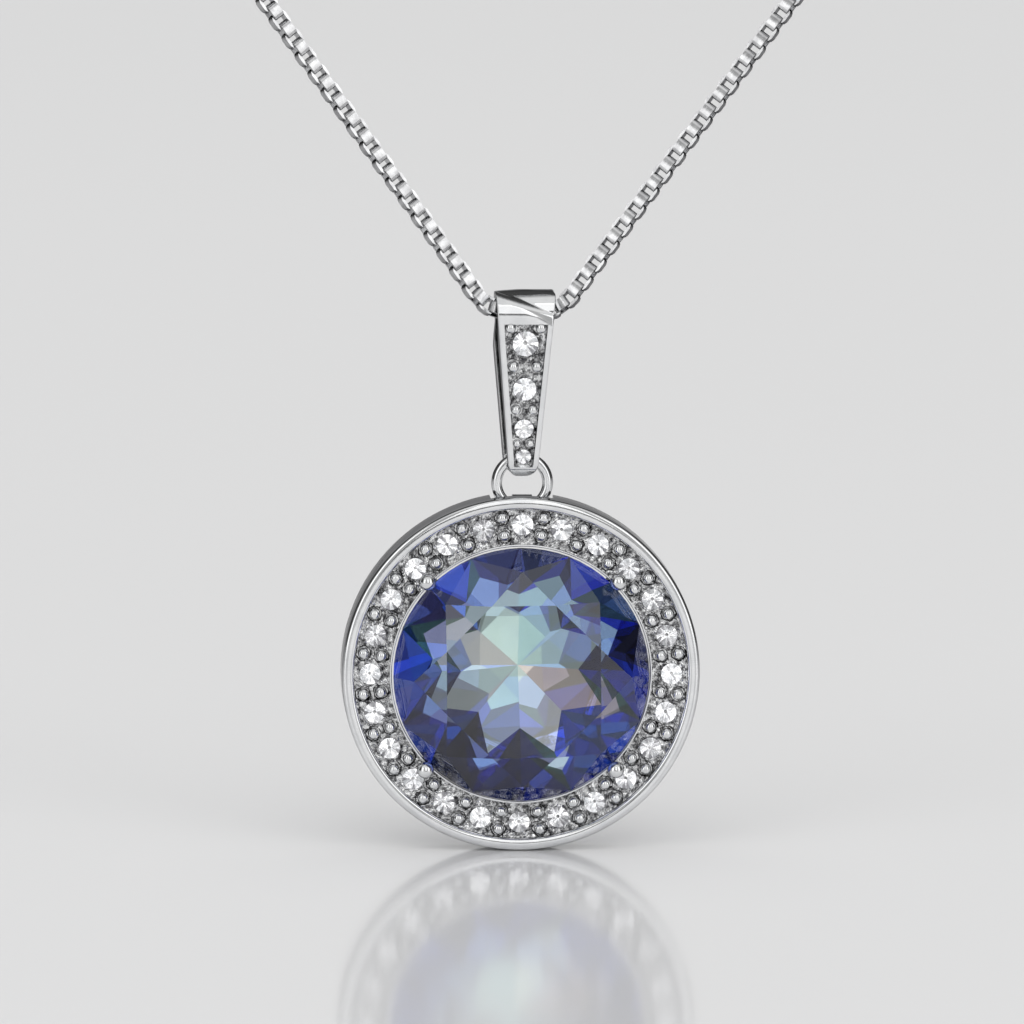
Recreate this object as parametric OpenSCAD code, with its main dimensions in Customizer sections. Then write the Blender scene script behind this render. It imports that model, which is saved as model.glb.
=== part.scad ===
// Pendant necklace: a box chain wound on a display peg, a stone-set bail, a jump ring and a
// round halo pendant with a four-prong centre stone. The front faces -Y and +Z is up.
// The origin is on the axis of the peg that holds the chain.

/* [Chain] */
// Width of the box chain
chain_w = 0.8; // [0.6:0.05:1]
// Diameter of the display peg that the spare chain is wound round
peg_d = 50; // [46:0.5:56]
// Free space between neighbouring turns and between a turn and the peg
turn_gap = 0.1; // [0.05:0.05:0.3]

/* [Clasp] */
// Radius of the spring ring, to the middle of its tube
clasp_r = 2.1; // [1.7:0.05:3]
// Outside diameter of the spring ring's tube
clasp_tube_d = 1.2; // [1.1:0.05:1.5]
// Wall of the spring ring's tube
clasp_wall = 0.2; // [0.15:0.01:0.22]
// Angle of the gap that the tongue closes
clasp_gap_angle = 38; // [34:1:44]
// Angle that the tongue slides back through
tongue_travel = 50; // [45:1:55]
// Wire diameter of the eyelet, the link rings and the loops of the end caps
link_wire_d = 0.38; // [0.3:0.02:0.42]
// Length of each end cap
cap_len = 1.6; // [1.2:0.1:2.4]

/* [Bail] */
// Distance from the chain's axis to the jump ring's wire
bail_drop = 6.75; // [6.4:0.05:8]
// Width of the bail at its top
bail_top_w = 2.8; // [2.4:0.1:3.4]
// Width of the bail at its tip
bail_tip_w = 1.28; // [1:0.02:1.6]
// Outside radius of the bail's rounded top
bail_top_r = 1.15; // [1.05:0.05:1.4]
// Outside radius of the bail's tip
bail_tip_r = 0.86; // [0.8:0.02:1.1]
// How far the top's outside stands forward of the eye, which thickens the front leg
bail_forward = 0.2; // [0.1:0.05:0.3]
// Width of the polished rail on each side of the bail's stones
bail_rail = 0.26; // [0.18:0.02:0.34]
// Depth of the bail's stone channel
bail_recess = 0.16; // [0.1:0.02:0.2]

/* [Jump ring] */
// Outside diameter of the jump ring
ring_d = 2.84; // [2.7:0.02:3.4]
// Wire diameter of the jump ring
ring_wire_d = 0.49; // [0.4:0.01:0.55]

/* [Pendant] */
// Outside diameter of the rim
rim_d = 16.5; // [15:0.1:20]
// Width of the polished rim, seen from the front
rim_w = 0.56; // [0.4:0.02:0.8]
// Depth of the rim's side wall behind the plane of the jump ring
rim_back = 0.7; // [0.5:0.1:1.2]
// Thickness of the rim's side wall
rim_wall = 0.4; // [0.3:0.02:0.5]
// Thickness of the bed that the halo stones are set in
bed_t = 0.4; // [0.3:0.05:0.6]
// Number of halo stones
halo_n = 24; // [16:1:28]
// Diameter of each halo stone
halo_d = 0.98; // [0.8:0.02:1.1]
// Diameter of each set grain
grain_d = 0.45; // [0.3:0.01:0.5]

/* [Centre stone] */
// Diameter of the centre stone
stone_d = 11.8; // [10:0.1:12.6]
// Diameter of each prong
prong_d = 0.5; // [0.4:0.02:0.6]
// Diameter of each prong's ball head
prong_head_d = 0.72; // [0.6:0.02:0.8]

/* [Hidden] */
$fn = 48;
e = 0.01;

// chain: radius of the wound turns, and half the width of each half of the winding
turn_r = peg_d / 2 + chain_w / 2;
coil_half_w = 2;

// The hanging strands, each as points [x, y, z] from the bail out to the winding. The right one
// mirrors the left one.
strand_points = [[0, 0, -41], [0.8, 0, -41], [1.2, 0, -40.95], [1.6, 0, -40.79],
    [2.1, 0, -40.34], [3, 0, -39.08], [6, 0, -34.95], [10, 0, -29.45], [14, 0, -23.94],
    [17.5, 0, -19.13], [20.5, 0, -15]];
// The last stretch of each strand, which rises off the winding and over its first turns
tail_points_left = [[-23.9, -1.5, 8.7], [-22.2, -1.5, 12.9], [-20, -1.4, 16.6],
    [-17.6, -1.1, 19.5], [-15.1, -0.7, 21.6], [-12.3, -0.3, 23.4], [-9.8, 0, 24.85],
    [-7.7, 0, 25.85], [-5.85, 0, 26.2]];
tail_points_right = [[23.9, 1.5, 8.7], [22.2, 1.5, 12.9], [20, 1.4, 16.6],
    [17.6, 1.1, 19.5], [15.1, 0.7, 21.6], [12.3, 0.3, 23.4], [9.8, 0, 24.9],
    [7.9, 0, 25.85], [6.1, 0, 26.3], [4.15, 0, 26.5]];
chain_z = strand_points[0][2];
tube_sides = 8;
strand_step = 2.2;

// clasp: lies flat over the winding, held by the two rings that stand on it; the links beside
// the clasp follow the winding's curve
clasp_tube_r = clasp_tube_d / 2;
clasp_bore_r = clasp_tube_r - clasp_wall;
link_wire_r = link_wire_d / 2;
link_play = 0.03;
tongue_r = clasp_bore_r - 0.1;
tongue_tip_angle = clasp_gap_angle / 2 + 8;
tongue_tail_angle = -100;
trigger_angle = -80;
trigger_pin_r = 0.14;
trigger_knob_r = 0.28;
trigger_reach = 0.35;
trigger_slot_margin = 4;
spring_far_angle = -200;
spring_wire_r = 0.07;
spring_turns = 12;
eyelet_r = 0.62;
link_r = 0.7;
catch_r = 0.8;
clasp_z = turn_r + chain_w / 2 + turn_gap / 2 + max(catch_r, link_r) + link_wire_r;
cap_loop_r = 0.56;
cap_wall = 0.14;
cap_bore_r = chain_w / 2 + 0.02;
cap_r = cap_bore_r + cap_wall;
cap_floor = 0.3;
// places along the curve, in millimetres from the top of the winding
eyelet_s = clasp_r + clasp_tube_r + eyelet_r - 0.02;
link_s = eyelet_s + (eyelet_r - link_wire_r) - link_wire_r - link_play + link_r;
cap_left_s = link_s + link_r - (link_wire_r + link_play) + cap_loop_r - link_wire_r;
catch_s = clasp_r - tongue_r - link_play + catch_r - link_wire_r;
cap_right_s = catch_s + (catch_r - link_wire_r) - link_wire_r - link_play + cap_loop_r;

// bail: the eye leaves room for the chain's corners
eye_clear = 0.06;
eye_r = sqrt(2) * chain_w / 2 + eye_clear;
// the ring's wire drops away at the tip's edges, and the tip's hole leaves room for that
ring_r = (ring_d - ring_wire_d) / 2;
ring_wire_r = ring_wire_d / 2;
ring_play = 0.025;
function ring_drop(half_w) = ring_r - sqrt(ring_r * ring_r - half_w * half_w);
tip_hole_r = ring_wire_r + ring_drop(bail_tip_w / 2) + ring_play;
bail_top_z = chain_z + bail_top_r;
ring_top_z = chain_z - bail_drop;
ring_z = ring_top_z - ring_r;
bail_h = bail_top_r + bail_drop + bail_tip_r;
// bail's stones, as [distance below the chain's axis, diameter]
bail_gems = [[1.33, 1.18], [3.46, 1.07], [5.31, 0.88], [6.62, 0.68]];
// bail's grains, as [distance below the chain's axis, diameter]
bail_beads = [[0.5, 0.4], [2.4, 0.4], [4.42, 0.36], [6, 0.28]];
bail_recess_top = 0.4;
bail_recess_end = 0.28;
// slope of the bail's front face, which is the line that touches both outer circles
bail_line = norm([bail_forward, bail_drop]);
bail_tilt = atan(bail_forward / bail_drop) + asin((bail_top_r - bail_tip_r) / bail_line);
function bail_half_w(z) = bail_top_w / 2
    - (bail_top_w - bail_tip_w) / 2 * (bail_top_z - z) / bail_h;

// pendant: depths are measured towards the front from the plane of the jump ring
hanger_half_w = 0.45;
hanger_hole_r = ring_wire_r + ring_drop(hanger_half_w) + ring_play;
hanger_r = hanger_hole_r + 0.26;
hanger_z = ring_z - ring_r;
rim_r = rim_d / 2;
rim_over_hanger = 0.63;
pendant_z = hanger_z + rim_over_hanger - rim_r;
bed_back = ring_wire_r + 0.155;
bed_front = bed_back + bed_t;
rim_crest = bed_front + 0.3;
rim_inner_r = rim_r - rim_w;
notch_half_w = ring_d / 2 + 0.2;
collar_w = 0.16;
collar_gap = 0.06;
collar_inner_r = stone_d / 2 + collar_gap;
collar_outer_r = collar_inner_r + collar_w;
collar_front = bed_front + 0.12;
halo_r = (rim_inner_r + collar_outer_r) / 2 + 0.05;
grain_out_r = halo_r + 0.32;
grain_in_r = halo_r - 0.42;
girdle_depth = bed_front + 0.2;

// stone proportions, as shares of a stone's diameter
crown_share = 0.15;
girdle_share = 0.025;
pavilion_share = 0.43;
table_share = 0.65;
seat_clear = 0.02;

prong_r = prong_d / 2;
prong_head_r = prong_head_d / 2;
prong_place_r = collar_inner_r + prong_r;
girdle_top = girdle_depth + girdle_share * stone_d / 2;
prong_head_depth = girdle_top + 0.25;
culet_depth = girdle_depth - (girdle_share / 2 + pavilion_share) * stone_d;
base_depth = culet_depth + 0.1;
elbow_depth = bed_back - prong_r - e;
gallery_depth = (bed_back + base_depth) / 2 + 0.2;
leg_slope = 0.95;
gallery_wire_r = 0.3;
base_wire_r = 0.25;
function leg_r(depth) = prong_place_r - leg_slope * (elbow_depth - depth);

// sweep: a closed tube along a list of points
function smooth_point(p, i, t) =
    let (n = len(p), a = p[max(i - 1, 0)], b = p[i], c = p[min(i + 1, n - 1)],
        d = p[min(i + 2, n - 1)])
    0.5 * (2 * b + (c - a) * t + (2 * a - 5 * b + 4 * c - d) * t * t
        + (3 * b - a - 3 * c + d) * t * t * t);
function steps_for(a, b, step) = max(1, ceil(norm(b - a) / step));
function smooth_path(p, step) = concat(
    [for (i = [0 : len(p) - 2], n = steps_for(p[i], p[i + 1], step), k = [0 : n - 1])
        smooth_point(p, i, k / n)], [p[len(p) - 1]]);
function unit(v) = v / norm(v);
function heading(path, i) = unit(path[min(i + 1, len(path) - 1)] - path[max(i - 1, 0)]);
function ring_points(path, i, r, sides, side_axis) =
    let (t = heading(path, i), u = unit(cross(side_axis, t)), v = cross(t, u))
    [for (k = [0 : sides - 1])
        path[i] + r * (cos(360 * (k + 0.5) / sides) * u + sin(360 * (k + 0.5) / sides) * v)];

module tube_along(path, r, sides, side_axis) {
    n = len(path);
    points = [for (i = [0 : n - 1]) each ring_points(path, i, r, sides, side_axis)];
    walls = [for (i = [0 : n - 2], k = [0 : sides - 1]) let (k2 = (k + 1) % sides)
        [i * sides + k, (i + 1) * sides + k, (i + 1) * sides + k2, i * sides + k2]];
    polyhedron(points = points, faces = concat(walls, [[for (k = [0 : sides - 1]) k]],
        [[for (k = [sides - 1 : -1 : 0]) (n - 1) * sides + k]]), convexity = 6);
}

// A round brilliant with its girdle's middle at z = 0 and its table towards +Z
module brilliant(d, table = 0.57) {
    r = d / 2;
    crown = crown_share * d;
    half_girdle = girdle_share * d / 2;
    culet = half_girdle + pavilion_share * d;
    table_r = table * r;
    star_r = (table_r + r) / 2 * 1.03;
    lower_r = 0.24 * r;
    c = cos(22.5);
    star_z = half_girdle + crown * (r - star_r * c) / (r - table_r);
    lower_z = -half_girdle - (culet - half_girdle) * (1 - lower_r * c / r);
    points = concat(
        [for (k = [0 : 7]) [table_r * cos(45 * k), table_r * sin(45 * k), half_girdle + crown]],
        [for (k = [0 : 7]) let (a = 45 * k + 22.5) [star_r * cos(a), star_r * sin(a), star_z]],
        [for (k = [0 : 15]) [r * cos(22.5 * k), r * sin(22.5 * k), half_girdle]],
        [for (k = [0 : 15]) [r * cos(22.5 * k), r * sin(22.5 * k), -half_girdle]],
        [for (k = [0 : 7]) let (a = 45 * k + 22.5) [lower_r * cos(a), lower_r * sin(a), lower_z]],
        [[0, 0, -culet]]);
    faces = concat([[7, 6, 5, 4, 3, 2, 1, 0]],
        [for (k = [0 : 7]) let (n = (k + 1) % 8, p = (k + 7) % 8, g = 2 * k, h = (g + 1) % 16,
            m = (g + 2) % 16) each [
            [k, n, 8 + k], [k, 8 + k, 16 + g], [k, 16 + g, 8 + p],
            [8 + k, 16 + h, 16 + g], [8 + k, 16 + m, 16 + h],
            [16 + g, 16 + h, 32 + h, 32 + g], [16 + h, 16 + m, 32 + m, 32 + h],
            [48 + k, 32 + g, 32 + h], [48 + k, 32 + h, 32 + m],
            [56, 48 + p, 32 + g], [56, 32 + g, 48 + k]]]);
    polyhedron(points = points, faces = faces, convexity = 4);
}

// The hollow that a brilliant sits in, from its girdle down
module seat(d) {
    clear_r = d / 2 + seat_clear;
    depth = pavilion_share * d + seat_clear;
    translate([0, 0, -depth]) cylinder(r1 = e, r2 = clear_r, h = depth, $fn = 24);
    translate([0, 0, -e]) cylinder(r = clear_r, h = d, $fn = 24);
}

// A raised half-round grain that stands on z = 0
module grain(d) {
    difference() {
        sphere(d = d, $fn = 24);
        translate([-d, -d, -2 * d]) cube([2 * d, 2 * d, 2 * d]);
    }
}

module torus(r, wire_r) {
    rotate_extrude() translate([r, 0]) circle(r = wire_r, $fn = 24);
}

module torus_arc(r, wire_r, from, to) {
    rotate([0, 0, from]) rotate_extrude(angle = to - from) translate([r, 0])
        circle(r = wire_r, $fn = 24);
}

module facing_front() {
    rotate([90, 0, 0]) children();
}

// Places a piece on the curve over the winding, s millimetres to the right of its top
module on_curve(s) {
    rotate([0, s / clasp_z * 180 / PI, 0]) translate([0, 0, clasp_z]) children();
}

module strand(side) {
    path = [for (p = smooth_path(strand_points, strand_step)) [side * p[0], p[1], p[2]]];
    tube_along(path, chain_w / 2, tube_sides, [0, 1, 0]);
}

module chain_left() {
    color("silver") strand(-1);
}

module chain_right() {
    color("silver") strand(1);
}

module half_coil(side) {
    facing_front() rotate_extrude($fn = 96)
        translate([turn_r - chain_w / 2, side < 0 ? 0 : -coil_half_w])
            square([chain_w, coil_half_w]);
}

module coil_left() {
    color("silver") half_coil(-1);
}

module coil_right() {
    color("silver") half_coil(1);
}

module tail_left() {
    color("silver") tube_along(smooth_path(tail_points_left, strand_step), chain_w / 2,
        tube_sides, [0, 1, 0]);
}

module tail_right() {
    color("silver") tube_along(smooth_path(tail_points_right, strand_step), chain_w / 2,
        tube_sides, [0, 1, 0]);
}

// side is -1 for the left cap and 1 for the right one; the loop's centre is at the local origin
module end_cap(side) {
    loop_end = cap_loop_r - link_wire_r / 2;
    torus(cap_loop_r, link_wire_r);
    translate([side * loop_end, 0, 0]) rotate([0, side * 90, 0]) difference() {
        cylinder(r = cap_r, h = cap_len);
        translate([0, 0, cap_floor]) cylinder(r = cap_bore_r, h = cap_len);
    }
}

module end_cap_left() {
    color("silver") on_curve(-cap_left_s) end_cap(-1);
}

module end_cap_right() {
    color("silver") on_curve(cap_right_s) end_cap(1);
}

module end_link() {
    color("silver") on_curve(-link_s) facing_front() torus(link_r, link_wire_r);
}

module catch_ring() {
    color("silver") on_curve(catch_s) facing_front() torus(catch_r, link_wire_r);
}

module clasp_eyelet() {
    color("silver") translate([-eyelet_s, 0, clasp_z]) torus(eyelet_r, link_wire_r);
}

module clasp_body() {
    half_gap = clasp_gap_angle / 2;
    slot_from = trigger_angle - tongue_travel - trigger_slot_margin;
    slot_to = trigger_angle + trigger_slot_margin;
    slot_half_h = trigger_pin_r + 0.05;
    color("silver") translate([0, 0, clasp_z]) difference() {
        torus_arc(clasp_r, clasp_tube_r, half_gap, 360 - half_gap);
        torus_arc(clasp_r, clasp_bore_r, half_gap - 1, tongue_tip_angle + 4);
        torus_arc(clasp_r, clasp_bore_r, spring_far_angle, 1 - half_gap);
        rotate([0, 0, slot_from]) rotate_extrude(angle = slot_to - slot_from)
            translate([clasp_r, -slot_half_h]) square([clasp_tube_r + e, 2 * slot_half_h]);
    }
}

module clasp_tongue() {
    color("gainsboro") translate([0, 0, clasp_z]) {
        torus_arc(clasp_r, tongue_r, tongue_tail_angle, tongue_tip_angle);
        rotate([0, 0, trigger_angle]) translate([clasp_r, 0, 0]) rotate([0, 90, 0])
            cylinder(r = trigger_pin_r, h = clasp_tube_r + trigger_reach, $fn = 24);
        rotate([0, 0, trigger_angle])
            translate([clasp_r + clasp_tube_r + trigger_reach, 0, 0])
                sphere(r = trigger_knob_r, $fn = 24);
    }
}

module clasp_spring() {
    coil_r = clasp_bore_r - spring_wire_r - 0.03;
    from = spring_far_angle + 3;
    to = tongue_tail_angle - 3;
    ring_n = spring_turns * 8;
    path = [for (i = [0 : ring_n]) let (a = from + (to - from) * i / ring_n, b = 45 * i,
        r = clasp_r + coil_r * cos(b)) [r * cos(a), r * sin(a), coil_r * sin(b)]];
    color("gray") translate([0, 0, clasp_z])
        tube_along(path, spring_wire_r, 6, [cos(from / 2 + to / 2), sin(from / 2 + to / 2), 0.01]);
}

module across(width) {
    rotate([90, 0, 90]) linear_extrude(width, center = true) children();
}

// A bar of the given width whose end view wraps two circles: [y, z, radius] above and below.
// Its straight sides end just inside the circles.
module belt(top, bottom, width) {
    line = [bottom[0] - top[0], bottom[1] - top[1]];
    down = atan2(line[1], line[0]);
    swing = acos((top[2] - bottom[2]) / norm(line));
    for (c = [top, bottom]) across(width) translate([c[0], c[1]]) circle(r = c[2]);
    across(width) polygon([for (c = [[top, 1], [bottom, 1], [bottom, -1], [top, -1]])
        let (a = down + c[1] * swing, r = c[0][2] - e)
        [c[0][0] + r * cos(a), c[0][1] + r * sin(a)]]);
}

module bail_front_outline() {
    tip_z = bail_top_z - bail_h;
    top_w = bail_half_w(bail_top_z);
    tip_w = bail_half_w(tip_z + bail_tip_w / 2);
    polygon([[-top_w, bail_top_z + e], [top_w, bail_top_z + e],
        [tip_w, tip_z + bail_tip_w / 2], [tip_w * 0.7, tip_z - e], [-tip_w * 0.7, tip_z - e],
        [-tip_w, tip_z + bail_tip_w / 2]]);
}

// Places a piece on the bail's front face, drop millimetres below the chain's axis
module on_bail_front(drop) {
    face_y = -bail_forward - bail_top_r / cos(bail_tilt) + drop * tan(bail_tilt);
    translate([0, face_y, chain_z - drop]) rotate([90 + bail_tilt, 0, 0]) children();
}

module bail_frame() {
    recess_bottom = bail_drop + bail_tip_r - bail_tip_w / 2 - bail_recess_end;
    recess_top_w = bail_half_w(chain_z - bail_recess_top) - bail_rail;
    recess_tip_w = bail_half_w(chain_z - recess_bottom) - bail_rail;
    color("silver") difference() {
        intersection() {
            union() belt([-bail_forward, chain_z, bail_top_r], [0, ring_top_z, bail_tip_r],
                2 * bail_top_w);
            facing_front() linear_extrude(6 * bail_top_r, center = true) bail_front_outline();
        }
        belt([0, chain_z, eye_r], [0, ring_top_z, tip_hole_r], 3 * bail_top_w);
        on_bail_front(0) translate([0, 0, -bail_recess]) linear_extrude(1)
            polygon([[-recess_top_w, -bail_recess_top], [recess_top_w, -bail_recess_top],
                [recess_tip_w, -recess_bottom], [-recess_tip_w, -recess_bottom]]);
        for (g = bail_gems)
            on_bail_front(g[0]) translate([0, 0, -bail_recess]) seat(g[1]);
    }
}

module bail_stones() {
    color("white") for (g = bail_gems)
        on_bail_front(g[0]) translate([0, 0, -bail_recess]) brilliant(g[1]);
}

module bail_grains() {
    color("silver") for (b = bail_beads, side = [-1, 1])
        on_bail_front(b[0])
            translate([side * (bail_half_w(chain_z - b[0]) - bail_rail - b[1] / 2 - 0.02), 0,
                -bail_recess]) grain(b[1]);
}

module jump_ring() {
    color("silver") translate([0, 0, ring_z]) facing_front() torus(ring_r, ring_wire_r);
}

module hanger_eye() {
    color("silver") difference() {
        across(2 * hanger_half_w) translate([0, hanger_z]) circle(r = hanger_r);
        across(4 * hanger_half_w) translate([0, hanger_z]) circle(r = hanger_hole_r);
        translate([-2 * hanger_half_w, -bed_back - 2, hanger_z - 2 * hanger_r])
            cube([4 * hanger_half_w, 2, 4 * hanger_r]);
    }
}

module on_pendant(depth = 0) {
    translate([0, -depth, pendant_z]) facing_front() children();
}

module rim() {
    crown_r = rim_w / 2;
    color("silver") on_pendant() difference() {
        rotate_extrude($fn = 96) {
            translate([rim_r - rim_wall, -rim_back]) square([rim_wall, rim_back + bed_back]);
            translate([rim_inner_r, bed_back]) square([rim_w, rim_crest - crown_r - bed_back]);
            translate([rim_r - crown_r, rim_crest - crown_r]) circle(r = crown_r);
        }
        translate([-notch_half_w, rim_r - 2, -rim_back - 1])
            cube([2 * notch_half_w, 3, rim_back + 1 + bed_back]);
    }
}

module halo_ring(r, turn = 0) {
    for (k = [0 : halo_n - 1])
        rotate([0, 0, 90 + 360 * (k + turn) / halo_n]) translate([r, 0, 0]) children();
}

module four_prongs() {
    for (k = [0 : 3]) rotate([0, 0, 45 + 90 * k]) children();
}

module halo_bed() {
    color("darkgray") on_pendant() difference() {
        translate([0, 0, bed_back]) cylinder(r = rim_inner_r, h = bed_t, $fn = 96);
        translate([0, 0, bed_back - 1]) cylinder(r = collar_outer_r, h = bed_t + 2, $fn = 96);
        halo_ring(halo_r) translate([0, 0, bed_front]) seat(halo_d);
        four_prongs() translate([prong_place_r, 0, 0]) cylinder(r = prong_r, h = 2, $fn = 24);
    }
}

module halo_stones() {
    color("white") on_pendant(bed_front) halo_ring(halo_r) brilliant(halo_d);
}

module halo_grains() {
    color("silver") on_pendant(bed_front)
        for (r = [grain_in_r, grain_out_r]) halo_ring(r, 0.5) grain(grain_d);
}

module stone_collar() {
    color("silver") on_pendant() difference() {
        translate([0, 0, bed_back])
            cylinder(r = collar_outer_r, h = collar_front - bed_back, $fn = 96);
        translate([0, 0, bed_back - 1]) cylinder(r = collar_inner_r, h = bed_t + 2, $fn = 96);
        four_prongs() translate([prong_place_r, 0, 0]) cylinder(r = prong_r, h = 2, $fn = 24);
    }
}

module centre_stone() {
    color("mediumblue") on_pendant(girdle_depth) brilliant(stone_d, table_share);
}

module prongs() {
    leg_drop = elbow_depth - base_depth;
    leg_len = leg_drop * norm([1, leg_slope]);
    color("silver") on_pendant() four_prongs() translate([prong_place_r, 0, elbow_depth]) {
        cylinder(r = prong_r, h = prong_head_depth - elbow_depth);
        translate([0, 0, prong_head_depth - elbow_depth]) sphere(r = prong_head_r);
        sphere(r = prong_r + e);
        rotate([0, 180 + atan(leg_slope), 0]) cylinder(r = prong_r, h = leg_len);
    }
}

module gallery_rail() {
    color("silver") on_pendant(gallery_depth) torus(leg_r(gallery_depth), gallery_wire_r);
}

module base_rail() {
    color("silver") on_pendant(base_depth) torus(leg_r(base_depth), base_wire_r);
}

chain_left();
chain_right();
coil_left();
coil_right();
tail_left();
tail_right();
end_cap_left();
end_cap_right();
end_link();
catch_ring();
clasp_eyelet();
clasp_body();
clasp_tongue();
clasp_spring();
bail_frame();
bail_stones();
bail_grains();
jump_ring();
hanger_eye();
rim();
halo_bed();
halo_stones();
halo_grains();
stone_collar();
centre_stone();
prongs();
gallery_rail();
base_rail();
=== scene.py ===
import math
import random

import bpy
from mathutils import Matrix, Vector


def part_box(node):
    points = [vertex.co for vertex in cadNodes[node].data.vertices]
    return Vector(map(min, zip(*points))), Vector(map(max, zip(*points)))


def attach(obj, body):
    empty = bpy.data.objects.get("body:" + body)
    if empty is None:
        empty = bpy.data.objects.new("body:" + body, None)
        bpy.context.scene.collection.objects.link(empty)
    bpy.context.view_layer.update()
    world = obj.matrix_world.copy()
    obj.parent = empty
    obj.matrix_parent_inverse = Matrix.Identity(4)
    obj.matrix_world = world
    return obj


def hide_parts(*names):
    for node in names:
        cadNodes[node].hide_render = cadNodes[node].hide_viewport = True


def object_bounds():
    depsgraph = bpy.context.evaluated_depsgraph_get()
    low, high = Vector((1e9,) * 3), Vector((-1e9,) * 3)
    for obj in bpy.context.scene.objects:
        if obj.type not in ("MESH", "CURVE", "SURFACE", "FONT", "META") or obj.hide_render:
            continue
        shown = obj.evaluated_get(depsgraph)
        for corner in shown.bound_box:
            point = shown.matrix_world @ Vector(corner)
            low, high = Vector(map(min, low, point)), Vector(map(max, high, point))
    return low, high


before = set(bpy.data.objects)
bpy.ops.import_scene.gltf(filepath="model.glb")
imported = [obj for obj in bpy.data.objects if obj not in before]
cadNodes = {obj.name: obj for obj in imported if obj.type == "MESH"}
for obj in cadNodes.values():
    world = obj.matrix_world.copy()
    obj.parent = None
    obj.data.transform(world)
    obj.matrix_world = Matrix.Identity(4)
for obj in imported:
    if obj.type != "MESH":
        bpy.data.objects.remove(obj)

cadLow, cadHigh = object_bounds()
scene = bpy.context.scene
metre = 0.001  # pieces are modelled in millimetres and finished in metres
onAxis = 0.0005  # how close a spun outline comes to its axis, where the ends then merge

cameraSettings = {
    "lens": 320,
    "azimuth": -4,
    "elevation": 9.5,
    "roll": 0.7,
    "distance": 0.4185,
    "lookAt": (-0.00045, 0, -0.0503),
}


def makeCamera(settings):
    data = bpy.data.cameras.new("productCamera")
    camera = bpy.data.objects.new("productCamera", data)
    scene.collection.objects.link(camera)
    data.lens = settings["lens"]
    data.clip_start, data.clip_end = 0.01, 20
    turn, rise = math.radians(settings["azimuth"]), math.radians(settings["elevation"])
    back = Vector((math.sin(turn) * math.cos(rise), -math.cos(turn) * math.cos(rise), math.sin(rise)))
    camera.rotation_mode = "QUATERNION"
    camera.location = Vector(settings["lookAt"]) + back * settings["distance"]
    facing = (-back).to_track_quat("-Z", "Y").to_matrix()
    facing = facing @ Matrix.Rotation(math.radians(settings["roll"]), 3, "Z")
    camera.rotation_quaternion = facing.to_quaternion()
    scene.camera = camera


makeCamera(cameraSettings)
print("camera placed")


def startMaterial(name):
    material = bpy.data.materials.new(name)
    material.use_nodes = True
    tree = material.node_tree
    return material, tree.nodes, tree.links, tree.nodes["Principled BSDF"]


def addNoise(nodes, links, scale, detail=3.0, stretch=None):
    where = nodes.new("ShaderNodeTexCoord")
    cloud = nodes.new("ShaderNodeTexNoise")
    cloud.inputs["Scale"].default_value = scale
    cloud.inputs["Detail"].default_value = detail
    if stretch:
        turned = nodes.new("ShaderNodeMapping")
        turned.inputs["Scale"].default_value = stretch
        links.new(where.outputs["Object"], turned.inputs["Vector"])
        links.new(turned.outputs["Vector"], cloud.inputs["Vector"])
    else:
        links.new(where.outputs["Object"], cloud.inputs["Vector"])
    return cloud


def addRamp(nodes, links, source, low, high, start=0.35, end=0.65):
    ramp = nodes.new("ShaderNodeValToRGB")
    ramp.color_ramp.elements[0].position, ramp.color_ramp.elements[1].position = start, end
    ramp.color_ramp.elements[0].color = (*low, 1)
    ramp.color_ramp.elements[1].color = (*high, 1)
    links.new(source, ramp.inputs["Fac"])
    return ramp


def addRange(nodes, links, source, low, high, fromLow=0.3, fromHigh=0.7):
    spread = nodes.new("ShaderNodeMapRange")
    for socket, value in (("From Min", fromLow), ("From Max", fromHigh), ("To Min", low), ("To Max", high)):
        spread.inputs[socket].default_value = value
    links.new(source, spread.inputs["Value"])
    return spread


def silverMaterial(name, settings):
    material, nodes, links, shader = startMaterial(name)
    shader.inputs["Metallic"].default_value = 1.0
    shader.inputs["Specular Tint"].default_value = (*settings["edge"], 1)
    tone = addNoise(nodes, links, settings["toneScale"])
    shade = addRamp(nodes, links, tone.outputs["Fac"], settings["dark"], settings["light"])
    links.new(shade.outputs["Color"], shader.inputs["Base Color"])
    polish = addNoise(nodes, links, settings["polishScale"], 4.0)
    roughness = addRange(nodes, links, polish.outputs["Fac"], *settings["roughness"])
    links.new(roughness.outputs["Result"], shader.inputs["Roughness"])
    scratches = addNoise(nodes, links, settings["scratchScale"], 2.0, settings["scratchStretch"])
    bump = nodes.new("ShaderNodeBump")
    bump.inputs["Strength"].default_value = settings["bump"]
    bump.inputs["Distance"].default_value = 0.00002
    links.new(scratches.outputs["Fac"], bump.inputs["Height"])
    links.new(bump.outputs["Normal"], shader.inputs["Normal"])
    return material


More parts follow.
